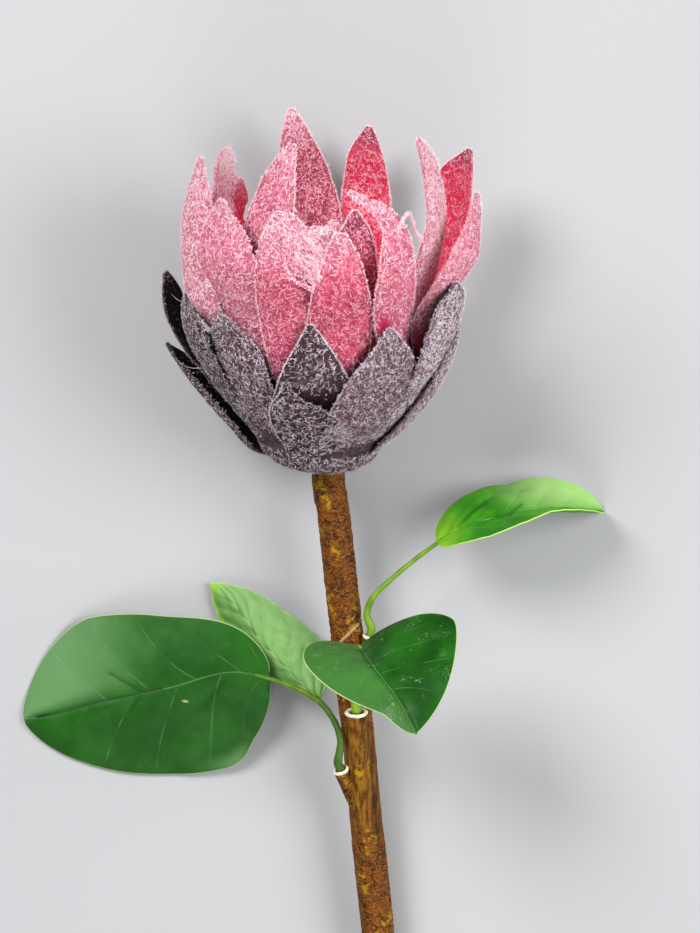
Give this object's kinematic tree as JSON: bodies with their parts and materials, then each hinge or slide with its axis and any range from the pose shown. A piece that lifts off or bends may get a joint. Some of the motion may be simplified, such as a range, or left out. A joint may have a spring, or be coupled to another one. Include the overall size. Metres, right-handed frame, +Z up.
{
  "type": "artificial protea flower",
  "caption": "Artificial protea bloom with flocked pink petals in a cup of grey bracts, on a cut bark-like stem with plug-in leaves, lying down.",
  "frame": {"origin": "on the table under the middle of the whole lying flower", "axes": "+X across the flower to its right, +Y along the stem towards the bloom, +Z up from the table"},
  "size_m": [0.1934, 0.3161, 0.0932],
  "materials": {
    "bark": "matt moulded bark",
    "cream": "matt bare plastic",
    "leaf_green": "soft sheen with pressed veins",
    "flock_grey": "dark foam with short pale flock",
    "flock_pink": "crimson foam with short pale flock",
    "floret_red": "matt dark red"
  },
  "bodies": {
    "root": {"stem": "bark", "collar_left": "cream", "collar_right": "cream", "collar_front": "cream", "leaf_sprig_left": "leaf_green", "leaf_right": "leaf_green", "leaf_front": "leaf_green", "bracts": "flock_grey", "petals": "flock_pink", "florets": "floret_red"}
  },
  "joints": []
}
